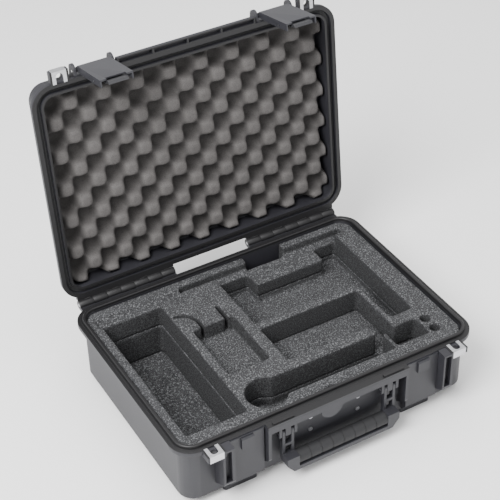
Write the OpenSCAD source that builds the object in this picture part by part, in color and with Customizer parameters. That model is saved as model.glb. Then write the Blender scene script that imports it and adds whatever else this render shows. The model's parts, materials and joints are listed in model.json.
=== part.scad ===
// Drone carrying case: moulded base and lid, cut foam inserts, two trigger latches
// and a fold-down handle. Front faces -Y, hinge at +Y, table plane at Z = 0.

/* [Case body] */
// Overall length over the rim flange
case_l = 500; // [430:1:600]
// Overall depth over the rim flange
case_w = 356; // [340:1:420]
// Height of the rim above the table
base_h = 113; // [112:1:150]
// Height of the lid above the rim
lid_h = 46; // [42:1:64]
// Shell wall thickness
wall = 4; // [3:0.5:5]
// Opening angle of the lid as it stands on its stop
lid_open = 96; // [90:0.5:100]

/* [Rim and seal] */
// Height of the sealing tongue above the rim
tongue_h = 5; // [4:0.25:6]
// Thickness of the gasket strip in the lid groove
gasket_t = 2.3; // [1.8:0.1:2.8]

/* [Hinge] */
// Length of each of the two hinges on a 500 mm case
hinge_len = 164; // [120:1:180]
// Radius of the hinge knuckles
knuckle_r = 7; // [6:0.25:8]
// Radius of the steel hinge pins
hinge_pin_r = 2.5; // [1.5:0.1:3.5]

/* [Latches] */
// Distance of each latch from the centre of the case
latch_x = 147.5; // [146:0.5:150]
// Width of the latch plate
latch_w = 50; // [44:0.5:52]
// Radius of the latch pivot pins
latch_pin_r = 1.6; // [1.2:0.1:2]
// Angle the free latch stands off its closed position
latch_rest = 5; // [4:0.25:6]

/* [Handle] */
// Radius of the rubber grip
grip_r = 10.5; // [9:0.25:12]
// Radius of the handle pivot pins
handle_pin_r = 2; // [1.5:0.1:2.6]

/* [Foam] */
// Thickness of the upper foam layer
foam_top_t = 41; // [36:0.5:46]
// Thickness of the floor foam pad
foam_pad_t = 5; // [3:0.5:8]

/* [Hidden] */
// Overhang of the rim flange beyond the body walls
rim_over = 10;
// Corner radius of the body
body_r = 25;
// Height of the moulded feet
foot_h = 7;
// Gap between the two rims when the case is shut
rim_gap = 0.4;
// Running clearance on every pin
fit = 0.05;
// Clearance round soft inserts
soft_gap = 0.3;
body_l = case_l - 2 * rim_over;
body_w = case_w - 2 * rim_over;
// Body floor below the rim
zb = foot_h - base_h;
// Front wall plane of the body
fy = -body_w / 2;
// Hinge axis behind the body
hinge_y = case_w / 2 + 11;
// Ratio of the case to its nominal plan, used to place features
kx = case_l / 500;
ky = case_w / 356;
hinge_x = 148 * kx;
knuckles = 7;
knuckle_gap = 0.5;
hinge_l = hinge_len * kx;
knuckle_w = hinge_l / knuckles;
lx = latch_x * kx;
// Depth of the lid groove that takes tongue and gasket
groove_h = tongue_h + gasket_t + 0.7;
// Front pad the latch closes onto, and keeper standing on it
pad_p = 12;
keeper_p = 3.6;
keeper_w = 20;
// Latch pivot measured outward from the front wall and up from the rim
piv_y = -15.8;
piv_z = 11.5;
latch_len = 75;
latch_out = -24;
plate_t = 2.4;
skirt_in = -13;
skirt_t = 2.2;
ear_t = 4;
ear_off = latch_w / 2 + 2.5;
barrel_r = latch_pin_r + 1.8;
trig_y = -16.2;
trig_z = -50;
trig_w = 30;
trig_pin_r = 1.2;
// Guard blocks outside the latches
guard_x = lx + latch_w / 2 + 11.5;
guard_h = 9;
// Padlock points
lock_x = lx + latch_w / 2 + 29.5;
lock_y = -18;
lock_r = 5;
lock_t = 10;
plate_s = 2;
// Handle shelf between the latches, and the two handle arms under it
bar_x = lx - latch_w / 2 - 4.5;
arm_o = bar_x - 23;
arm_i = arm_o - 19;
arm_x = (arm_i + arm_o) / 2;
ear_w = 4.5;
hp_y = -15;
hp_z = -24;
ear_r = handle_pin_r + 2;
grip_y = -22;
grip_z = -75;
grip_h = arm_i - 1;
// Plain half-round tab hanging from the bar of the handle bracket
badge_r = 18;
badge_t = 2.5;
badge_x = -14;
badge_z = -11.5;
// Lid lip between the latch ears
lip_h = lx - ear_off - ear_t - 3;
lip_cell = (lip_h - 1) / 2;
// Foam levels below the rim
foam_top = -1;
foam_mid = foam_top - foam_top_t;
foam_floor = zb + wall + soft_gap;
pad_top = foam_floor + foam_pad_t;
foam_hl = body_l / 2 - wall - soft_gap;
foam_hw = body_w / 2 - wall - soft_gap;

// Sweeps a wall section round the body: x outward from the wall, y upward
module ring(l, w, r) {
    for (i = [0 : 3]) {
        sx = (i == 0 || i == 3) ? 1 : -1;
        sy = (i < 2) ? 1 : -1;
        translate([sx * (l / 2 - r), sy * (w / 2 - r), 0])
            rotate([0, 0, 90 * i])
                rotate_extrude(angle = 90, $fn = 64)
                    translate([r, 0])
                        children();
    }
    for (s = [0, 1]) {
        mirror([0, s, 0])
            translate([-(l / 2 - r), w / 2, 0])
                rotate([90, 0, 90])
                    linear_extrude(l - 2 * r)
                        children();
        mirror([s, 0, 0])
            translate([l / 2, w / 2 - r, 0])
                rotate([90, 0, 0])
                    linear_extrude(w - 2 * r)
                        children();
    }
}

// Rounded rectangle with half sizes hl and hw
module rrect(hl, hw, r) {
    square([2 * hl - 2 * r, 2 * hw], center = true);
    square([2 * hl, 2 * hw - 2 * r], center = true);
    for (sx = [-1, 1])
        for (sy = [-1, 1])
            translate([sx * (hl - r), sy * (hw - r)])
                circle(r = r, $fn = 64);
}

// Extrudes a Y-Z section along X from x0 to x1
module yz(x0, x1) {
    translate([x0, 0, 0])
        rotate([90, 0, 90])
            linear_extrude(x1 - x0)
                children();
}

// Cylinder along X from x0 to x1 at a Y-Z position
module xcyl(x0, x1, y, z, r) {
    translate([x0, y, z])
        rotate([0, 90, 0])
            cylinder(r = r, h = x1 - x0, $fn = 48);
}

// Box from a low corner to a high corner
module box(a, b) {
    translate(a)
        cube([b[0] - a[0], b[1] - a[1], b[2] - a[2]]);
}

// Places rim-centred parts over the table
module at_rim() {
    translate([0, 0, base_h])
        children();
}

// Places parts drawn for the shut lid onto the standing lid
module on_lid() {
    translate([0, hinge_y, base_h])
        rotate([-lid_open, 0, 0])
            translate([0, -hinge_y, 0])
                children();
}

// Places parts drawn for a shut latch onto the free latch
module on_latch(s) {
    on_lid()
        translate([s * lx, fy + piv_y, piv_z])
            rotate([-latch_rest, 0, 0])
                translate([0, -fy - piv_y, -piv_z])
                    children();
}

module at_front() {
    translate([0, fy, 0])
        children();
}

// ---- base shell ----
module base_section() {
    polygon([[-14, zb], [-7, zb], [0, zb + 7], [0, -14], [rim_over, -7], [rim_over, 0],
        [2, 0], [2, tongue_h - 1], [1, tongue_h], [-2, tongue_h], [-3, tongue_h - 1],
        [-3, 0], [-wall, 0], [-wall, zb + wall + 4], [-wall - 4, zb + wall], [-14, zb + wall]]);
}

module hinge_barrels(first, z0, z1) {
    for (s = [-1, 1])
        for (i = [first : 2 : knuckles - 1]) {
            x0 = s * hinge_x - hinge_l / 2 + i * knuckle_w + knuckle_gap / 2;
            x1 = x0 + knuckle_w - knuckle_gap;
            xcyl(x0, x1, hinge_y, 0, knuckle_r);
            box([x0, case_w / 2 - 3, z0], [x1, hinge_y, z1]);
        }
}

// Strip along each hinge that joins its knuckles to the rim
module hinge_web(z0, z1) {
    for (s = [-1, 1])
        box([s * hinge_x - hinge_l / 2, case_w / 2 - 3, z0],
            [s * hinge_x + hinge_l / 2, hinge_y - knuckle_r - 0.7, z1]);
}

module hinge_bores() {
    for (s = [-1, 1])
        xcyl(s * hinge_x - hinge_l / 2 - 1, s * hinge_x + hinge_l / 2 + 1,
            hinge_y, 0, hinge_pin_r + fit);
}

// Clears the other leaf's knuckles out of the rim edge
module hinge_reliefs(first, z0, z1) {
    for (s = [-1, 1])
        for (i = [first : 2 : knuckles - 1]) {
            x0 = s * hinge_x - hinge_l / 2 + i * knuckle_w - knuckle_gap / 2;
            box([x0, hinge_y - knuckle_r - 0.6, z0],
                [x0 + knuckle_w + knuckle_gap, hinge_y + knuckle_r + 1, z1]);
        }
}

module lock_boss(z0, z1) {
    for (s = [-1, 1])
        translate([s * lock_x, 0, z0])
            linear_extrude(z1 - z0)
                union() {
                    translate([-14, -27])
                        square([28, 30]);
                }
}

module lock_cut(s, z0, z1) {
    // seat for the steel plate, open to the front
    box([s * lock_x - 11, -29, z0], [s * lock_x + 11, -8, z1]);
}

module base_front() {
    // latch pads, guard blocks, keepers and the handle shelf
    for (s = [-1, 1]) {
        translate([s * lx, 0, 0]) {
            yz(-latch_w / 2 - 2, latch_w / 2 + 2)
                polygon([[2, -3], [-pad_p, -3], [-pad_p, -86], [-4, -96], [2, -96]]);
            yz(-keeper_w / 2, keeper_w / 2)
                polygon([[-pad_p + 1, -5], [-pad_p - keeper_p + 1, -5], [-pad_p - keeper_p, -7],
                    [-pad_p - keeper_p, -24], [-pad_p + 1, -24]]);
        }
        difference() {
            yz(s * guard_x - guard_h, s * guard_x + guard_h)
                polygon([[2, -1], [-26, -1], [-27, -2], [-27, -64], [-25, -68], [2, -84]]);
            box([s * guard_x - guard_h + 3, -30, -62], [s * guard_x + guard_h - 5, -18, -5]);
        }
    }
    box([-bar_x, -20, -3.5], [bar_x, 2, 0]);
    for (s = [-1, 1])
        box([s * (bar_x - 26) - 17, -18, -1], [s * (bar_x - 26) + 17, -14, 2.5]);
}

module base_shell() {
    color([0.24, 0.24, 0.27])
        at_rim()
            difference() {
                union() {
                    ring(body_l, body_w, body_r)
                        base_section();
                    translate([0, 0, zb])
                        linear_extrude(wall)
                            rrect(body_l / 2 - 12, body_w / 2 - 12, body_r - 12);
                    for (sx = [-1, 1])
                        for (sy = [-1, 1])
                            translate([sx * 150 * kx, sy * (body_w / 2 - 18), zb - foot_h])
                                linear_extrude(foot_h + wall - 1)
                                    rrect(27, 14, 4);
                    translate([0, 0, zb - foot_h])
                        linear_extrude(foot_h + 1)
                            rrect(60, 40, 6);
                    at_front()
                        base_front();
                    at_front()
                        lock_boss(-lock_t, 0);
                    hinge_barrels(0, -7, -0.5);
                    hinge_web(-7, -0.5);
                }
                hinge_bores();
                hinge_reliefs(1, -12, 8);
                at_front()
                    for (s = [-1, 1]) {
                        lock_cut(s, -plate_s, 1);
                        box([s * lock_x - 11, -29, -lock_t - plate_s], [s * lock_x + 11, -25, 1]);
                        box([s * lock_x - 11, -29, -lock_t - plate_s],
                            [s * lock_x + 11, -12, -lock_t]);
                        translate([s * lock_x, lock_y, -lock_t - 1])
                            cylinder(r = lock_r, h = lock_t + 2, $fn = 48);
                        for (x = [-1, 1])
                            translate([x * 40, 0, 0])
                                translate([0, 1, -30 - (s + 1) * 12])
                                    rotate([-90, 0, 0])
                                        translate([0, 0, -2])
                                            cylinder(r = 1.7, h = 4, $fn = 32);
                    }
            }
}

// ---- lid shell ----
module lid_section() {
    t = lid_h;
    g = groove_h;
    polygon([[rim_over, rim_gap], [rim_over, 7.4], [0, g + 6], [0, t - 8], [-8, t], [-14, t],
        [-14, t - wall], [-wall - 4, t - wall], [-wall, t - wall - 4], [-wall, g + 4],
        [-8, g + 1], [-8, rim_gap], [-4.2, rim_gap], [-4.2, g], [3.2, g], [3.2, rim_gap]]);
}

module lid_front() {
    difference() {
        yz(-lip_h, lip_h)
            polygon([[-6, rim_gap], [-20, rim_gap], [-20, 7.4], [2, groove_h + 12],
                [2, groove_h + 1], [-6, groove_h + 1]]);
        for (i = [-2 : 1])
            box([i * lip_cell + 1.5, -18.3, rim_gap - 1], [(i + 1) * lip_cell - 1.5, -11.5, 7]);
    }
    for (s = [-1, 1])
        for (e = [-1, 1]) {
            x0 = s * lx + e * (ear_off + ear_t / 2) - ear_t / 2;
            yz(x0, x0 + ear_t)
                union() {
                    polygon([[-6, 3], [-16.5, 3], [-16.5, 22.5], [2, 26], [2, groove_h + 1],
                        [-6, groove_h + 1]]);
                    translate([-16.5, 12.75])
                        circle(r = 9.75, $fn = 64);
                }
        }
}

module lid_shell() {
    color([0.24, 0.24, 0.27])
        on_lid()
            difference() {
                union() {
                    ring(body_l, body_w, body_r)
                        lid_section();
                    translate([0, 0, lid_h - wall])
                        linear_extrude(wall)
                            rrect(body_l / 2 - 12, body_w / 2 - 12, body_r - 12);
                    at_front()
                        lid_front();
                    at_front()
                        difference() {
                            lock_boss(rim_gap, lock_t);
                            box([-case_l, -7, 0], [case_l, 9, lock_t + 1]);
                        }
                    hinge_barrels(1, 0.5, 7.4);
                    hinge_web(0.5, 7.4);
                }
                hinge_bores();
                hinge_reliefs(0, -8, 12);
                at_front()
                    for (s = [-1, 1]) {
                        lock_cut(s, -1, rim_gap + plate_s);
                        box([s * lock_x - 11, -29, -1], [s * lock_x + 11, -25, lock_t + 1]);
                        translate([s * lock_x, lock_y, -1])
                            cylinder(r = lock_r, h = lock_t + 2, $fn = 48);
                        xcyl(s * lx - ear_off - ear_t - 1, s * lx + ear_off + ear_t + 1,
                            piv_y, piv_z, latch_pin_r + fit);
                    }
            }
}

module gasket() {
    color([0.05, 0.05, 0.05])
        on_lid()
            ring(body_l, body_w, body_r)
                translate([-4, groove_h - gasket_t])
                    square([7, gasket_t]);
}

module hinge_pins() {
    color([0.7, 0.7, 0.72])
        at_rim()
            for (s = [-1, 1])
                xcyl(s * hinge_x - hinge_l / 2 + 0.25, s * hinge_x + hinge_l / 2 - 0.25,
                    hinge_y, 0, hinge_pin_r);
}

// ---- latches ----
module latch_body() {
    h = latch_w / 2;
    at_front()
        difference() {
            union() {
                yz(-h, h)
                    polygon([[latch_out, -latch_len], [latch_out, 4], [-19, 13], [-16, 13],
                        [-16, 9.5], [latch_out + plate_t, 2.5], [latch_out + plate_t, -latch_len]]);
                xcyl(-h, h, piv_y, piv_z, barrel_r);
                for (e = [-1, 1])
                    yz(e * (h - skirt_t / 2) - skirt_t / 2, e * (h - skirt_t / 2) + skirt_t / 2)
                        polygon([[latch_out + 1, -latch_len], [latch_out + 1, 4], [-19, 9], [-15, 9],
                            [skirt_in, -8], [skirt_in, -latch_len]]);
            }
            xcyl(-h - 1, h + 1, piv_y, piv_z, latch_pin_r + fit);
            xcyl(-h - 1, h + 1, trig_y, trig_z, trig_pin_r + fit);
            box([-15, latch_out - 1, -latch_len - 1], [15, latch_out + plate_t + 1, -latch_len + 5]);
        }
}

module latch_left() {
    color([0.43, 0.43, 0.47])
        on_latch(-1)
            latch_body();
}

module latch_right() {
    color([0.43, 0.43, 0.47])
        on_latch(1)
            latch_body();
}

module latch_pins() {
    color([0.7, 0.7, 0.72])
        on_lid()
            at_front()
                for (s = [-1, 1])
                    xcyl(s * lx - ear_off - ear_t, s * lx + ear_off + ear_t, piv_y, piv_z, latch_pin_r);
}

module trigger_body() {
    at_front()
        difference() {
            union() {
                yz(-trig_w / 2, trig_w / 2)
                    polygon([[-13, -24.4], [-17.4, -24.4], [-17.4, -70], [-21, -73], [-21, -80],
                        [-17, -82], [-17, -72], [-15, -70], [-15, -31], [-13, -27]]);
                xcyl(-trig_w / 2, trig_w / 2, trig_y, trig_z, 2.8);
            }
            xcyl(-trig_w, trig_w, trig_y, trig_z, trig_pin_r + fit);
            box([-4, -20, trig_z - 6], [4, -12, trig_z + 6]);
        }
}

module trigger_left() {
    color([0.12, 0.12, 0.13])
        on_latch(-1)
            trigger_body();
}

module trigger_right() {
    color([0.12, 0.12, 0.13])
        on_latch(1)
            trigger_body();
}

module trigger_pin() {
    at_front()
        xcyl(-latch_w / 2, latch_w / 2, trig_y, trig_z, trig_pin_r);
}

module trigger_pin_left() {
    color([0.7, 0.7, 0.72])
        on_latch(-1)
            trigger_pin();
}

module trigger_pin_right() {
    color([0.7, 0.7, 0.72])
        on_latch(1)
            trigger_pin();
}

// Torsion spring between the two trigger barrels: coil body and one leg
module trigger_spring() {
    at_front()
        difference() {
            union() {
                xcyl(-3.2, 3.2, trig_y, trig_z, 2.3);
                box([-3.2, trig_y - 2.3, trig_z], [-2.2, trig_y - 1.5, trig_z + 5]);
            }
            xcyl(-5, 5, trig_y, trig_z, trig_pin_r + 0.08);
        }
}

module trigger_spring_left() {
    color([0.6, 0.6, 0.62])
        on_latch(-1)
            trigger_spring();
}

module trigger_spring_right() {
    color([0.6, 0.6, 0.62])
        on_latch(1)
            trigger_spring();
}

// ---- handle ----
module handle_bracket() {
    color([0.4, 0.4, 0.44])
        at_rim()
            at_front()
                difference() {
                    union() {
                        box([-bar_x, -20, -14], [bar_x, -11, -3.7]);
                        for (s = [-1, 1]) {
                            yz(s * (bar_x - 2.5) - 2.5, s * (bar_x - 2.5) + 2.5)
                                polygon([[-0.3, -14.6], [-10.6, -7.4], [-10.6, -3.7], [-20, -3.7],
                                    [-20, -62], [-18, -66], [-0.3, -80]]);
                            for (f = [[arm_i - 5, arm_i - 0.5],
                                    [arm_i + ear_w + 0.5, arm_o - ear_w - 0.5],
                                    [arm_o + 0.5, arm_o + 5]])
                                yz(min(s * f[0], s * f[1]), max(s * f[0], s * f[1]))
                                    polygon([[-19, -13], [-19, -30], [-16.5, -33], [-13, -33],
                                        [-11, -30], [-11, -13]]);
                        }
                        box([-bar_x, -3, -62], [bar_x, -0.3, -14.8]);
                        translate([badge_x, badge_t - 20, badge_z])
                            rotate([90, 0, 0])
                                linear_extrude(badge_t)
                                    intersection() {
                                        circle(r = badge_r, $fn = 96);
                                        translate([-badge_r, -badge_r])
                                            square([2 * badge_r, badge_r]);
                                    }
                    }
                    for (s = [-1, 1])
                        xcyl(s * arm_x - 20, s * arm_x + 20, hp_y, hp_z, handle_pin_r + fit);
                    for (x = [-40, 40])
                        for (z = [-30, -54])
                            translate([x, 1, z])
                                rotate([90, 0, 0])
                                    cylinder(r = 1.75, h = 6, $fn = 32);
                }
}

module bracket_screws() {
    color([0.55, 0.55, 0.57])
        at_rim()
            at_front()
                for (x = [-40, 40])
                    for (z = [-30, -54])
                        translate([x, 2.8, z])
                            rotate([90, 0, 0])
                                difference() {
                                    union() {
                                        cylinder(r = 1.6, h = 6, $fn = 32);
                                        translate([0, 0, 5.8])
                                            cylinder(r = 3.4, h = 2, $fn = 32);
                                    }
                                    translate([-2.2, -0.4, 7])
                                        cube([4.4, 0.8, 2]);
                                    translate([-0.4, -2.2, 7])
                                        cube([0.8, 4.4, 2]);
                                }
}

module handle_pins() {
    color([0.7, 0.7, 0.72])
        at_rim()
            at_front()
                for (s = [-1, 1])
                    xcyl(s * arm_x - 14.5, s * arm_x + 14.5, hp_y, hp_z, handle_pin_r);
}

module handle_frame() {
    color([0.38, 0.38, 0.42])
        at_rim()
            at_front()
                difference() {
                    union() {
                        for (s = [-1, 1]) {
                            for (x = [arm_i + ear_w / 2, arm_o - ear_w / 2])
                                translate([s * x, 0, 0]) {
                                    xcyl(-ear_w / 2, ear_w / 2, hp_y, hp_z, ear_r);
                                    box([-ear_w / 2, hp_y - ear_r, -72],
                                        [ear_w / 2, hp_y + ear_r, hp_z]);
                                }
                            xa = s > 0 ? arm_i : -arm_o;
                            box([xa, hp_y - ear_r, -50], [xa + 19, hp_y + ear_r, -45]);
                            translate([0, -12, 0])
                                rotate([90, 0, 0])
                                    linear_extrude(21)
                                        polygon([[s * grip_h, -64], [s * arm_o, -64], [s * arm_o, -77],
                                            [s * (arm_o - 11), -91], [s * grip_h, -91]]);
                        }
                        box([-grip_h - 0.5, -33, -91], [grip_h + 0.5, -12, -84]);
                    }
                    for (s = [-1, 1])
                        xcyl(s * arm_x - 20, s * arm_x + 20, hp_y, hp_z, handle_pin_r + fit);
                }
}

module handle_grip() {
    color([0.14, 0.14, 0.15])
        at_rim()
            at_front()
                difference() {
                    xcyl(-grip_h, grip_h, grip_y, grip_z, grip_r);
                    for (i = [-3 : 3])
                        difference() {
                            xcyl(i * 18.5 - 0.6, i * 18.5 + 0.6, grip_y, grip_z, grip_r + 2);
                            xcyl(i * 18.5 - 1, i * 18.5 + 1, grip_y, grip_z, grip_r - 0.7);
                        }
                    box([-grip_h - 5, -40, -100], [grip_h + 5, 0, -84]);
                }
}

// ---- padlock plates ----
module lock_plate() {
    // U channel of sheet steel with a slot round the shackle hole
    difference() {
        union() {
            box([-11, -27, -plate_s], [11, -8, 0]);
            box([-11, -27, -lock_t - plate_s], [11, -25, 0]);
            box([-11, -27, -lock_t - plate_s], [11, -12, -lock_t]);
        }
        translate([0, lock_y, -lock_t - 5])
            cylinder(r = lock_r + 0.5, h = lock_t + 10, $fn = 48);
        box([-lock_r - 0.5, lock_y, -lock_t - 5], [lock_r + 0.5, 0, 5]);
    }
}

module lock_plates_base() {
    color([0.75, 0.75, 0.77])
        at_rim()
            at_front()
                for (s = [-1, 1])
                    translate([s * lock_x, 0, 0])
                        lock_plate();
}

module lock_plates_lid() {
    color([0.75, 0.75, 0.77])
        on_lid()
            at_front()
                for (s = [-1, 1])
                    translate([s * lock_x, 0, rim_gap])
                        mirror([0, 0, 1])
                            lock_plate();
}

// ---- foam ----
// Flat box cut through a foam layer from z0 to z1
module cut(x0, x1, y0, y1, z0, z1) {
    box([x0 * kx, y0 * ky, z0], [x1 * kx, y1 * ky, z1]);
}

// Pockets that reach into both layers
module deep_pockets() {
    top = 1;
    // aircraft well
    cut(-220, -123, -140, 128, zb, top);
    // controller well with the side slot
    cut(-20, 37, 15, 138, foam_mid - 10, top);
    cut(36, 161, 15, 108, foam_mid - 10, top);
    cut(160, 200, -78, 138, foam_mid - 10, top);
    // two shallow steps in its floor
    cut(20, 50, 20, 45, foam_mid - 16, top);
    cut(60, 100, 20, 45, foam_mid - 16, top);
    // front slot with its round end
    cut(-82, 128, -140, -100, foam_mid - 18, top);
    translate([-82 * kx, -122 * ky, foam_mid - 18])
        cylinder(r = 31 * min(kx, ky), h = foam_top_t + 20, $fn = 96);
    cut(133, 190, -137, -100, foam_mid - 18, top);
}

module upper_pockets() {
    top = 1;
    // back ledges and the finger gap
    cut(-225, -80, 127, 144, -6, top);
    cut(-80, 215, 138, 150, -17, top);
    cut(36, 161, 107, 139, -17, top);
    cut(42, 110, 149, 170, foam_mid - 1, top);
    // charger pocket
    cut(-108, -40, -62, 48, -29, top);
    // curved cable slit and its straight twin
    translate([-120 * kx, 62 * ky, -29])
        linear_extrude(32)
            intersection() {
                difference() {
                    circle(r = 32 * kx, $fn = 64);
                    circle(r = 26 * kx, $fn = 64);
                }
                square([40 * kx, 40 * kx]);
            }
    cut(-94, -88, 46, 63, -29, top);
    cut(-53, -47, 46, 82, -29, top);
    // accessory pocket, reaching down to the lower layer
    cut(-20, 152, -80, 0, foam_mid - 1, top);
    cut(120, 152, -105, -79, foam_mid - 1, top);
    // stick holes and the thumb notch
    for (y = [-108, -132])
        translate([203 * kx, y * ky, -30])
            cylinder(r = 8, h = 32, $fn = 48);
    cut(-12, 12, -168, -158, -10, top);
}

module foam_layer(z0, z1) {
    translate([0, 0, z0])
        linear_extrude(z1 - z0)
            rrect(foam_hl, foam_hw, body_r - wall - soft_gap);
}

module foam_upper() {
    color([0.22, 0.22, 0.22])
        at_rim()
            difference() {
                foam_layer(foam_mid, foam_top);
                deep_pockets();
                upper_pockets();
            }
}

module foam_lower() {
    color([0.2, 0.2, 0.2])
        at_rim()
            difference() {
                foam_layer(pad_top, foam_mid);
                deep_pockets();
            }
}

module foam_pad() {
    color([0.18, 0.18, 0.18])
        at_rim()
            translate([0, 0, foam_floor])
                linear_extrude(foam_pad_t)
                    rrect(foam_hl - 4, foam_hw - 4, body_r - wall - soft_gap - 4);
}

module foam_lid() {
    color([0.38, 0.37, 0.36])
        on_lid() {
            translate([0, 0, 27])
                linear_extrude(lid_h - wall - 27 - soft_gap)
                    rrect(foam_hl - 4.1, foam_hw - 4.1, body_r - wall - 5);
            for (i = [-4 : 4])
                for (j = [-3 : 2])
                    translate([i * 48 * kx, (j * 50 + 25) * ky, 12])
                        cylinder(r = 14, h = 16, $fn = 48);
        }
}

base_shell();
lid_shell();
gasket();
hinge_pins();
latch_left();
latch_right();
latch_pins();
trigger_left();
trigger_right();
trigger_pin_left();
trigger_pin_right();
trigger_spring_left();
trigger_spring_right();
handle_bracket();
bracket_screws();
handle_frame();
handle_grip();
handle_pins();
lock_plates_base();
lock_plates_lid();
foam_pad();
foam_lower();
foam_upper();
foam_lid();
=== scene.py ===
import json
import math

import bmesh
import bpy
from mathutils import Matrix, Vector, noise


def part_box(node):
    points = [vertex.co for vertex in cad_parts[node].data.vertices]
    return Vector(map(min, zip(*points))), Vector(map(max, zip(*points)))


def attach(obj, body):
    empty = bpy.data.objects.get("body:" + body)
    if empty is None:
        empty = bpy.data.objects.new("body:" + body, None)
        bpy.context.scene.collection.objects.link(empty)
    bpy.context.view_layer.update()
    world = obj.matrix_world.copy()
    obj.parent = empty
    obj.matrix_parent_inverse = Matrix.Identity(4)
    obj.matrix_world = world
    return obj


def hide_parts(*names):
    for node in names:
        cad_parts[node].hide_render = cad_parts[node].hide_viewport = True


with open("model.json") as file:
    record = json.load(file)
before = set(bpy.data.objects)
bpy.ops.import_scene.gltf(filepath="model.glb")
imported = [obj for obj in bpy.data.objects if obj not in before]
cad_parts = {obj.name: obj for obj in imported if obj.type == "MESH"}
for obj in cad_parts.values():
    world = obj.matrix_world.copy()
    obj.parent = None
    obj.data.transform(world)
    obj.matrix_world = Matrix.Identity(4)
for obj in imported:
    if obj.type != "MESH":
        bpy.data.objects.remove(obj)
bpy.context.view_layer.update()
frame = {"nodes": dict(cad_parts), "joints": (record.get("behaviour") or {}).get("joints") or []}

MM = 0.001

# ---- places read from the frame ----
JOINTS = {joint["name"]: joint for joint in frame["joints"]}
HINGE = Vector(JOINTS["lid_hinge"]["pos_m"])
LID_OPEN = math.radians(JOINTS["lid_hinge"]["range_deg"][1])
RIM_Z = HINGE.z

# Rim flange and body outlines, as half sizes, with the body's corner radius
RIM_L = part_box("base_shell")[1].x
HINGE_BEHIND_RIM = 11 * MM
FLANGE = 10 * MM
RIM_W = HINGE.y - HINGE_BEHIND_RIM
BODY_L = RIM_L - FLANGE
BODY_W = RIM_W - FLANGE
BODY_R = 25 * MM
LID_H = 46 * MM

AT_RIM = Matrix.Translation((0, 0, RIM_Z))
ON_LID = (Matrix.Translation((0, HINGE.y, RIM_Z)) @ Matrix.Rotation(-LID_OPEN, 4, "X")
          @ Matrix.Translation((0, -HINGE.y, 0)))
LID_UP = ON_LID.to_3x3() @ Vector((0, 0, 1))


# ---- materials ----
def new_material(name, roughness, metallic=0.0, specular=0.5):
    material = bpy.data.materials.new(name)
    material.use_nodes = True
    shader = material.node_tree.nodes["Principled BSDF"]
    shader.inputs["Roughness"].default_value = roughness
    shader.inputs["Metallic"].default_value = metallic
    shader.inputs["Specular IOR Level"].default_value = specular
    return material, material.node_tree.nodes, material.node_tree.links, shader


def noise_node(nodes, links, scale, detail=2.0):
    place = nodes.new("ShaderNodeTexCoord")
    texture = nodes.new("ShaderNodeTexNoise")
    texture.inputs["Scale"].default_value = scale
    texture.inputs["Detail"].default_value = detail
    links.new(place.outputs["Object"], texture.inputs["Vector"])
    return texture.outputs["Fac"]


def ramp(nodes, links, value, stops):
    """A colour ramp over value; stops are (position, colour) pairs."""
    node = nodes.new("ShaderNodeValToRGB")
    elements = node.color_ramp.elements
    while len(elements) < len(stops):
        elements.new(0.5)
    for element, (position, colour) in zip(elements, stops):
        element.position = position
        element.color = (*colour, 1)
    links.new(value, node.inputs["Fac"])
    return node.outputs["Color"]


def mix_colours(nodes, links, factor, first, second):
    """A blend of two colours; each argument is a value or another node's output."""
    node = nodes.new("ShaderNodeMix")
    node.data_type = "RGBA"
    sides = [s for s in node.inputs if s.type == "RGBA"]
    for socket, value in zip([node.inputs["Factor"]] + sides, (factor, first, second)):
        if isinstance(value, bpy.types.NodeSocket):
            links.new(value, socket)
        elif socket.type == "RGBA":
            socket.default_value = (*value, 1)
        else:
            socket.default_value = value
    return [s for s in node.outputs if s.type == "RGBA"][0]


def multiplied(nodes, links, factor, first, second):
    """One colour output multiplied by another, as far as factor says."""
    node = nodes.new("ShaderNodeMix")
    node.data_type = "RGBA"
    node.blend_type = "MULTIPLY"
    node.inputs["Factor"].default_value = factor
    sides = [s for s in node.inputs if s.type == "RGBA"]
    links.new(first, sides[0])
    links.new(second, sides[1])
    return [s for s in node.outputs if s.type == "RGBA"][0]


def bump(nodes, links, shader, height, strength, distance):
    node = nodes.new("ShaderNodeBump")
    node.inputs["Strength"].default_value = strength
    node.inputs["Distance"].default_value = distance
    links.new(height, node.inputs["Height"])
    links.new(node.outputs["Normal"], shader.inputs["Normal"])


def shade(colour, factor):
    return tuple(min(1.0, channel * factor) for channel in colour)


def above_plane(nodes, links, direction, offset, width):
    """0 below a plane and 1 above it, in the piece's own coordinates."""
    place = nodes.new("ShaderNodeTexCoord")
    dot = nodes.new("ShaderNodeVectorMath")
    dot.operation = "DOT_PRODUCT"
    dot.inputs[1].default_value = direction
    links.new(place.outputs["Object"], dot.inputs[0])
    step = nodes.new("ShaderNodeMapRange")
    step.inputs["From Min"].default_value = offset - width / 2
    step.inputs["From Max"].default_value = offset + width / 2
    links.new(dot.outputs["Value"], step.inputs["Value"])
    return step.outputs["Result"]


def facing_up(nodes, links):
    """1 on faces that look up and 0 on upright ones, at rest."""
    place = nodes.new("ShaderNodeTexCoord")
    parts = nodes.new("ShaderNodeSeparateXYZ")
    step = nodes.new("ShaderNodeMapRange")
    step.inputs["From Min"].default_value = 0.25
    step.inputs["From Max"].default_value = 0.75
    links.new(place.outputs["Normal"], parts.inputs["Vector"])
    links.new(parts.outputs["Z"], step.inputs["Value"])
    return step.outputs["Result"]


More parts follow.
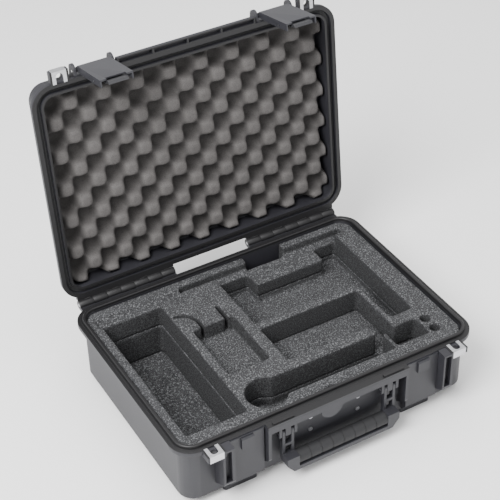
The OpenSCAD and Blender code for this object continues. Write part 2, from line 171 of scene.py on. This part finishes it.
def plastic(name, colour, roughness, grain=1100.0, depth=0.25, rim=None):
    """Moulded plastic with a spark-eroded grain; rim = (direction, offset, colour) darkens one end."""
    material, nodes, links, shader = new_material(name, roughness)
    clouds = noise_node(nodes, links, 22.0, 4.0)
    grains = noise_node(nodes, links, grain, 1.0)
    tone = ramp(nodes, links, clouds, [(0.3, shade(colour, 0.93)), (0.7, shade(colour, 1.06))])
    speck = ramp(nodes, links, grains, [(0.35, (0.82, 0.82, 0.82)), (0.65, (1.1, 1.1, 1.1))])
    result = multiplied(nodes, links, 0.8, tone, speck)
    if rim:
        direction, offset, dark = rim
        edge = above_plane(nodes, links, direction, offset, 0.6 * MM)
        result = mix_colours(nodes, links, edge, result, dark)
    links.new(result, shader.inputs["Base Color"])
    bump(nodes, links, shader, grains, depth, 0.2 * MM)
    return material


def metal(name, colour, roughness, brush=(1.0, 1.0, 1.0)):
    material, nodes, links, shader = new_material(name, roughness, metallic=1.0)
    place = nodes.new("ShaderNodeTexCoord")
    stretch = nodes.new("ShaderNodeMapping")
    stretch.inputs["Scale"].default_value = brush
    lines = nodes.new("ShaderNodeTexNoise")
    lines.inputs["Scale"].default_value = 900.0
    links.new(place.outputs["Object"], stretch.inputs["Vector"])
    links.new(stretch.outputs["Vector"], lines.inputs["Vector"])
    tone = ramp(nodes, links, lines.outputs["Fac"],
                [(0.3, shade(colour, 0.85)), (0.7, shade(colour, 1.08))])
    links.new(tone, shader.inputs["Base Color"])
    bump(nodes, links, shader, lines.outputs["Fac"], 0.08, 0.05 * MM)
    return material


def speckled_foam(name, colour, dark, light, scale):
    """Bonded crumb foam: a dark ground with black and white crumbs and open pores; upright faces get a
    darker copy with dimmed white crumbs as painted shade.
    """
    material, nodes, links, shader = new_material(name, 0.95, specular=0.15)
    crumbs = noise_node(nodes, links, scale, 3.0)
    second = noise_node(nodes, links, scale * 0.61, 2.0)
    pores = noise_node(nodes, links, scale * 2.3, 1.0)
    patches = noise_node(nodes, links, 35.0, 3.0)
    ground = ramp(nodes, links, patches, [(0.35, shade(colour, 0.85)), (0.65, shade(colour, 1.12))])
    black = ramp(nodes, links, crumbs, [(0.51, (0, 0, 0)), (0.58, (1, 1, 1))])
    white = ramp(nodes, links, second, [(0.54, (0, 0, 0)), (0.62, (1, 1, 1))])
    spotted = mix_colours(nodes, links, black, ground, dark)
    spotted = mix_colours(nodes, links, white, spotted, light)
    # painted shade: faces that stand upright get a darker ground and white crumbs at half brightness
    upright_painted_shade = mix_colours(nodes, links, black, shade(colour, 0.85), dark)
    upright_painted_shade = mix_colours(nodes, links, white, upright_painted_shade, shade(light, 0.5))
    links.new(mix_colours(nodes, links, facing_up(nodes, links), upright_painted_shade, spotted),
              shader.inputs["Base Color"])
    bump(nodes, links, shader, pores, 0.55, 0.8 * MM)
    return material


def plain_foam(name, colour, deep):
    """Open-cell foam; deep = (direction, first, last) darkens the valleys, which get less light."""
    material, nodes, links, shader = new_material(name, 0.95, specular=0.15)
    cells = noise_node(nodes, links, 800.0, 2.0)
    patches = noise_node(nodes, links, 30.0, 3.0)
    tone = ramp(nodes, links, patches, [(0.3, shade(colour, 0.93)), (0.7, shade(colour, 1.06))])
    pores = ramp(nodes, links, cells, [(0.3, (0.75, 0.75, 0.75)), (0.6, (1.08, 1.08, 1.08))])
    direction, first, last = deep
    depth = above_plane(nodes, links, direction, (first + last) / 2, last - first)
    tone = mix_colours(nodes, links, depth, tone, shade(colour, 0.5))
    links.new(multiplied(nodes, links, 1.0, tone, pores), shader.inputs["Base Color"])
    bump(nodes, links, shader, cells, 0.4, 0.4 * MM)
    return material


SHELL = (0.017, 0.0168, 0.0212)
RIM_DARK = (0.006, 0.0057, 0.0066)
RIM_OFFSET = 0.5 * MM
CRATE_PEAK = 13.2 * MM
CRATE_VALLEY = 37 * MM
CRATE_SHADE = (LID_UP, LID_UP.dot(HINGE) + CRATE_PEAK + 3 * MM, LID_UP.dot(HINGE) + CRATE_VALLEY)
MATERIALS = {
    "shell_base": plastic("shell_base", SHELL, 0.5, rim=((0, 0, 1), RIM_Z - RIM_OFFSET, RIM_DARK)),
    "shell_lid": plastic("shell_lid", SHELL, 0.55,
                         rim=(-LID_UP, -(LID_UP.dot(HINGE) + RIM_OFFSET + 0.4 * MM), RIM_DARK)),
    "rim_black": plastic("rim_black", RIM_DARK, 0.45, depth=0.1),
    "latch_plastic": plastic("latch_plastic", (0.024, 0.024, 0.029), 0.4, grain=1500.0, depth=0.15),
    "trigger_plastic": plastic("trigger_plastic", (0.025, 0.025, 0.028), 0.45),
    "handle_plastic": plastic("handle_plastic", (0.019, 0.019, 0.0235), 0.5, depth=0.2),
    "grip_rubber": plastic("grip_rubber", (0.011, 0.011, 0.0125), 0.7, grain=900.0, depth=0.4),
    "seal_rubber": plastic("seal_rubber", (0.015, 0.015, 0.016), 0.8, depth=0.15),
    "steel": metal("steel", (0.62, 0.62, 0.64), 0.3, (0.05, 1, 1)),
    "spring_steel": metal("spring_steel", (0.5, 0.5, 0.53), 0.35),
    "screw_steel": metal("screw_steel", (0.4, 0.4, 0.42), 0.4),
    "plate_steel": metal("plate_steel", (0.6, 0.6, 0.62), 0.38, (0.1, 1, 1)),
    "foam_dark": speckled_foam("foam_dark", (0.05, 0.0505, 0.053), (0.012, 0.012, 0.0125),
                               (0.125, 0.127, 0.132), 760.0),
    "foam_grey": plain_foam("foam_grey", (0.092, 0.087, 0.085), CRATE_SHADE),
}


# ---- frame nodes: finish and softened edges ----
def finish_node(node, material, bevel=0.0):
    piece = frame["nodes"][node]
    piece.data.materials.clear()
    piece.data.materials.append(MATERIALS[material])
    if bevel:
        weld = piece.modifiers.new("weld", "WELD")
        weld.merge_threshold = 0.01 * MM
        edge = piece.modifiers.new("edges", "BEVEL")
        edge.width = bevel
        edge.segments = 2
        edge.limit_method = "ANGLE"
        edge.angle_limit = math.radians(35)
        edge.harden_normals = True


for node, material, bevel in (
        ("base_shell", "shell_base", 0.6 * MM), ("lid_shell", "shell_lid", 0.6 * MM),
        ("hinge_pins", "steel", 0), ("latch_pins", "steel", 0),
        ("latch_left", "latch_plastic", 0.5 * MM), ("latch_right", "latch_plastic", 0.5 * MM),
        ("trigger_left", "trigger_plastic", 0.4 * MM), ("trigger_right", "trigger_plastic", 0.4 * MM),
        ("trigger_pin_left", "steel", 0), ("trigger_pin_right", "steel", 0),
        ("trigger_spring_left", "spring_steel", 0), ("trigger_spring_right", "spring_steel", 0),
        ("handle_bracket", "handle_plastic", 0.4 * MM), ("bracket_screws", "screw_steel", 0),
        ("handle_frame", "handle_plastic", 0.8 * MM), ("handle_grip", "grip_rubber", 0),
        ("handle_pins", "steel", 0), ("lock_plates_base", "plate_steel", 0.3 * MM),
        ("lock_plates_lid", "plate_steel", 0.3 * MM), ("gasket", "seal_rubber", 0),
        ("foam_pad", "foam_dark", 0), ("foam_lower", "foam_dark", 0),
        ("foam_upper", "foam_dark", 0), ("foam_lid", "foam_grey", 0)):
    finish_node(node, material, bevel)


# ---- mesh helpers ----
def add_piece(name, verts, faces, place, material, body, smooth=False):
    """One mesh piece on a body; place takes the points to the row frame."""
    mesh = bpy.data.meshes.new(name)
    mesh.from_pydata([place @ Vector(v) for v in verts], [], faces)
    work = bmesh.new()
    work.from_mesh(mesh)
    bmesh.ops.recalc_face_normals(work, faces=work.faces)
    work.to_mesh(mesh)
    work.free()
    mesh.materials.append(MATERIALS[material])
    for polygon in mesh.polygons:
        polygon.use_smooth = smooth
    piece = bpy.data.objects.new(name, mesh)
    bpy.context.scene.collection.objects.link(piece)
    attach(piece, body)
    return piece


def baked(piece):
    """Applies a piece's modifiers to its mesh."""
    graph = bpy.context.evaluated_depsgraph_get()
    mesh = bpy.data.meshes.new_from_object(piece.evaluated_get(graph))
    piece.modifiers.clear()
    piece.data = mesh


def rounded_outline(half_l, half_w, radius, turns=12):
    """(point, outward direction) pairs round a rounded rectangle, anticlockwise."""
    outline = []
    for quarter in range(4):
        centre = Vector(((half_l - radius) * (1, -1, -1, 1)[quarter],
                         (half_w - radius) * (1, 1, -1, -1)[quarter]))
        for step in range(turns + 1):
            angle = math.pi / 2 * (quarter + step / turns)
            outward = Vector((math.cos(angle), math.sin(angle)))
            outline.append((centre + outward * radius, outward))
    return outline


def swept_ring(name, profile, place, material, body):
    """A closed profile of (outward, up) points swept round the body wall."""
    verts = []
    for point, outward in rounded_outline(BODY_L, BODY_W, BODY_R):
        for out, up in profile:
            spot = point + outward * out
            verts.append((spot.x, spot.y, up))
    count = len(profile)
    rows = len(verts) // count
    faces = [(r * count + k, r * count + (k + 1) % count,
              (r + 1) % rows * count + (k + 1) % count, (r + 1) % rows * count + k)
             for r in range(rows) for k in range(count)]
    return add_piece(name, verts, faces, place, material, body)


def joined(name, parts, place, material, body):
    """One piece from a list of (verts, faces)."""
    verts, faces = [], []
    for part_verts, part_faces in parts:
        start = len(verts)
        verts += part_verts
        faces += [tuple(i + start for i in face) for face in part_faces]
    return add_piece(name, verts, faces, place, material, body)


def chamfered_bar(low, high, edge):
    """A box from low to high whose top edges are cut back."""
    (x0, y0, z0), (x1, y1, z1) = low, high
    verts = [(x0, y0, z0), (x1, y0, z0), (x1, y1, z0), (x0, y1, z0),
             (x0, y0, z1 - edge), (x1, y0, z1 - edge), (x1, y1, z1 - edge), (x0, y1, z1 - edge),
             (x0 + edge, y0 + edge, z1), (x1 - edge, y0 + edge, z1),
             (x1 - edge, y1 - edge, z1), (x0 + edge, y1 - edge, z1)]
    faces = [(0, 3, 2, 1), (8, 9, 10, 11)]
    for level in (0, 4):
        faces += [(level + k, level + (k + 1) % 4, level + 4 + (k + 1) % 4, level + 4 + k)
                  for k in range(4)]
    return verts, faces


# ---- cut foam in the base ----
COARSE_WAVE = 60
FINE_WAVE = 190
FINE_SHARE = 0.6
UNEVEN = Vector((0.3, 0.3, 1))


def cut_foam(name, node, voxel, rough):
    """Softened copy of a cut foam block: rounded edges, faintly uneven faces."""
    source = frame["nodes"][node]
    work = bmesh.new()
    work.from_mesh(source.data)
    bmesh.ops.remove_doubles(work, verts=work.verts, dist=0.01 * MM)
    mesh = bpy.data.meshes.new(name)
    work.to_mesh(mesh)
    work.free()
    piece = bpy.data.objects.new(name, mesh)
    bpy.context.scene.collection.objects.link(piece)
    remesh = piece.modifiers.new("cells", "REMESH")
    remesh.mode = "VOXEL"
    remesh.voxel_size = voxel
    remesh.use_smooth_shade = True
    soften = piece.modifiers.new("soften", "SMOOTH")
    soften.factor = 0.5
    soften.iterations = 2
    baked(piece)
    span = 1 + FINE_SHARE
    for vertex in piece.data.vertices:
        wave = noise.noise(vertex.co * COARSE_WAVE) + FINE_SHARE * noise.noise(vertex.co * FINE_WAVE)
        vertex.co += UNEVEN * rough * (wave - span / 2) / span
    piece.data.materials.clear()
    piece.data.materials.append(MATERIALS["foam_dark"])
    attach(piece, "base")
    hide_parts(node)


cut_foam("upper_foam", "foam_upper", 2.2 * MM, 0.5 * MM)
cut_foam("lower_foam", "foam_lower", 2.6 * MM, 0.5 * MM)
cut_foam("floor_foam", "foam_pad", 2.2 * MM, 0.3 * MM)


# ---- egg-crate foam in the lid ----
CRATE_PITCH_X = 53 * MM
CRATE_PITCH_Y = 54 * MM
CRATE_BACK = 41.4 * MM
CRATE_INSET = 8.8 * MM
CRATE_CORNER = BODY_R - 9 * MM
CRATE_STEP = 2.5 * MM
CRATE_MID = 0.52
CRATE_STEEP = 0.8
CRATE_CROWN = 0.08


def crate_height(x, y):
    """Peaks and valleys of convoluted foam, with soft shoulders."""
    wave = math.cos(2 * math.pi * x / CRATE_PITCH_X) * math.cos(2 * math.pi * y / CRATE_PITCH_Y)
    rise = min(1.0, max(0.0, CRATE_MID + CRATE_STEEP * wave))
    rise = rise * rise * (3 - 2 * rise) * (1 - CRATE_CROWN) + (0.5 + 0.5 * wave) * CRATE_CROWN
    return CRATE_VALLEY + (CRATE_PEAK - CRATE_VALLEY) * rise


def egg_crate():
    half_l = BODY_L - CRATE_INSET
    half_w = BODY_W - CRATE_INSET
    radius = CRATE_CORNER
    columns = int(2 * half_l / CRATE_STEP)
    rows = int(2 * half_w / CRATE_STEP)
    top, back = [], []
    for row in range(rows + 1):
        y = -half_w + 2 * half_w * row / rows
        into = max(0.0, abs(y) - (half_w - radius))
        reach = half_l - radius + math.sqrt(max(0.0, radius ** 2 - into ** 2))
        for column in range(columns + 1):
            x = reach * (2 * column / columns - 1)
            uneven = 0.35 * MM * noise.noise(Vector((x, y, 0)) * 70)
            top.append((x, y, crate_height(x, y) + uneven))
            back.append((x, y, CRATE_BACK))
    width = columns + 1
    faces = []
    for row in range(rows):
        for column in range(columns):
            a = row * width + column
            faces.append((a, a + width, a + width + 1, a + 1))
            faces.append(tuple(len(top) + i for i in (a, a + 1, a + width + 1, a + width)))
    edge = (list(range(width))
            + [row * width + columns for row in range(1, rows + 1)]
            + [rows * width + column for column in range(columns - 1, -1, -1)]
            + [row * width for row in range(rows - 1, 0, -1)])
    for a, b in zip(edge, edge[1:] + edge[:1]):
        faces.append((a, b, len(top) + b, len(top) + a))
    piece = add_piece("lid_foam", top + back, faces, ON_LID, "foam_grey", "lid", smooth=True)
    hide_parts("foam_lid")


egg_crate()


# ---- seal in the lid groove: a strip with two lips facing the tongue ----
SEAL_TOP = 8 * MM
SEAL_EDGES = (-3.8 * MM, 2.8 * MM)
LIP_PLACES = (-2.3 * MM, 1.3 * MM)
LIP_TIP = 5.9 * MM
LIP_RISE = 0.6 * MM
LIP_HALF = 1.1 * MM
LIP_STEPS = 6


def lid_seal():
    inner, outer = SEAL_EDGES
    foot = LIP_TIP + LIP_RISE
    profile = [(inner, SEAL_TOP), (inner, foot)]
    for centre in LIP_PLACES:
        for step in range(LIP_STEPS + 1):
            angle = math.pi * (1 - step / LIP_STEPS)
            profile.append((centre + LIP_HALF * math.cos(angle), foot - LIP_RISE * math.sin(angle)))
    profile += [(outer, foot), (outer, SEAL_TOP)]
    piece = swept_ring("lid_seal", profile, ON_LID, "seal_rubber", "lid")
    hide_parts("gasket")


lid_seal()


# ---- fine ribs on the base rim, outside the tongue ----
def rim_rib(name, out, width, height):
    shoulder = height * 0.6
    profile = [(out - width / 2, 0), (out - width / 2, shoulder),
               (out - width / 4, height), (out + width / 4, height),
               (out + width / 2, shoulder), (out + width / 2, 0)]
    swept_ring(name, profile, AT_RIM, "rim_black", "base")


rim_rib("rim_rib_inner", 3.9 * MM, 1.1 * MM, 0.3 * MM)
rim_rib("rim_rib_outer", 7.6 * MM, 1.1 * MM, 0.3 * MM)


# ---- moulded ribs on the lid's top and small nubs on the side walls ----
def lid_ribs():
    width = 9 * MM
    reach = BODY_L - 45 * MM
    pitch = 48 * MM
    sunk = 0.5 * MM
    height = 1.4 * MM
    chamfer = 1.0 * MM
    bars = [chamfered_bar((-reach, row * pitch - width / 2, LID_H - sunk),
                          (reach, row * pitch + width / 2, LID_H + height), chamfer)
            for row in range(-2, 3)]
    joined("lid_ribs", bars, ON_LID, "shell_lid", "lid")


def side_nubs(name, place, level, body, material):
    """Small raised nubs in a row on both side walls, level being their height in place."""
    pitch = 70 * MM
    half_w = 1.6 * MM
    half_l = 3 * MM
    sunk = 0.5 * MM
    height = 1.5 * MM
    chamfer = 0.6 * MM
    parts = []
    for side in (-1, 1):
        turn = Matrix.Rotation(side * math.pi / 2, 4, "Y")
        for row in (-1.5, -0.5, 0.5, 1.5):
            spot = Matrix.Translation((side * BODY_L, row * pitch, level)) @ turn
            verts, faces = chamfered_bar((-half_w, -half_l, -sunk), (half_w, half_l, height), chamfer)
            parts.append(([spot @ Vector(v) for v in verts], faces))
    joined(name, parts, place, material, body)


lid_ribs()
side_nubs("base_nubs", AT_RIM, -19 * MM, "base", "shell_base")
side_nubs("lid_nubs", ON_LID, 22 * MM, "lid", "shell_lid")


# ---- wound springs behind the latch plates ----
def wound_spring(side):
    node = "trigger_spring_" + side
    low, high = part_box(node)
    joint = JOINTS["trigger_" + side + "_pivot"]
    axis_y, axis_z = joint["pos_m"][1:]
    coil_r = 1.85 * MM
    wire_r = 0.4 * MM
    turns = 6
    sides = 8
    steps_per_turn = 20
    steps = turns * steps_per_turn
    path = []
    for step in range(steps + 1):
        angle = 2 * math.pi * turns * step / steps
        x = low.x + wire_r + (high.x - low.x - 2 * wire_r) * step / steps
        path.append(Vector((x, axis_y + coil_r * math.cos(angle), axis_z + coil_r * math.sin(angle))))
    verts, faces = [], []
    for index, point in enumerate(path):
        ahead = path[min(index + 1, steps)] - path[max(index - 1, 0)]
        ahead.normalize()
        radial = Vector((0, point.y - axis_y, point.z - axis_z)).normalized()
        across = ahead.cross(radial)
        for k in range(sides):
            turn = 2 * math.pi * k / sides
            verts.append(point + wire_r * (math.cos(turn) * radial + math.sin(turn) * across))
    for index in range(steps):
        for k in range(sides):
            a = index * sides + k
            b = index * sides + (k + 1) % sides
            faces.append((a, b, b + sides, a + sides))
    faces.append(tuple(range(sides)))
    faces.append(tuple(steps * sides + k for k in range(sides - 1, -1, -1)))
    piece = add_piece("wound_spring_" + side, verts, faces, Matrix.Identity(4), "spring_steel",
                      side + "_latch", smooth=True)
    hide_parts(node)


wound_spring("left")
wound_spring("right")


# ---- floor, light and camera ----
def floor():
    size = 14
    mesh = bpy.data.meshes.new("floor")
    mesh.from_pydata([(-size, -size, 0), (size, -size, 0), (size, size, 0), (-size, size, 0)],
                     [], [(0, 1, 2, 3)])
    material, nodes, links, shader = new_material("floor_white", 0.9, specular=0.1)
    tone = ramp(nodes, links, noise_node(nodes, links, 2.0),
                [(0, (0.93, 0.93, 0.93)), (1, (0.95, 0.95, 0.95))])
    links.new(tone, shader.inputs["Base Color"])
    mesh.materials.append(material)
    ground = bpy.data.objects.new("floor", mesh)
    bpy.context.scene.collection.objects.link(ground)


def area_light(name, place, target, size, power):
    light = bpy.data.lights.new(name, "AREA")
    light.shape = "SQUARE"
    light.size = size
    light.energy = power
    lamp = bpy.data.objects.new(name, light)
    lamp.location = place
    lamp.rotation_euler = (Vector(target) - Vector(place)).to_track_quat("-Z", "Y").to_euler()
    bpy.context.scene.collection.objects.link(lamp)


def camera(azimuth, elevation, roll, distance, target, lens):
    az, el, turn = (math.radians(a) for a in (azimuth, elevation, roll))
    back = Vector((math.sin(az) * math.cos(el), -math.cos(az) * math.cos(el), math.sin(el)))
    right = (-back).cross(Vector((0, 0, 1))).normalized()
    up = right.cross(-back)
    right_rolled = math.cos(turn) * right + math.sin(turn) * up
    up_rolled = math.cos(turn) * up - math.sin(turn) * right
    turned = Matrix((right_rolled, up_rolled, back)).transposed().to_4x4()
    lens_data = bpy.data.cameras.new("camera")
    lens_data.sensor_width = 36
    lens_data.lens = lens
    lens_data.clip_end = 50
    eye = bpy.data.objects.new("camera", lens_data)
    eye.matrix_world = Matrix.Translation(Vector(target) + back * distance) @ turned
    bpy.context.scene.collection.objects.link(eye)
    bpy.context.scene.camera = eye


floor()
area_light("key", (-1.6, -0.7, 2.2), (0, 0, 0.15), 1.3, 130)
area_light("front", (0.6, -2.4, 1.5), (0, 0, 0.15), 1.8, 6)
area_light("top", (0.3, 0.2, 2.6), (0, 0, 0.1), 2.0, 34)
world = bpy.data.worlds.new("studio")
world.use_nodes = True
world.node_tree.nodes["Background"].inputs["Color"].default_value = (1, 1, 1, 1)
world.node_tree.nodes["Background"].inputs["Strength"].default_value = 1.05
bpy.context.scene.world = world
camera(azimuth=-29.28, elevation=37.66, roll=-1.49, distance=1.9703,
       target=(-0.0343, 0, 0.2646), lens=100.03)
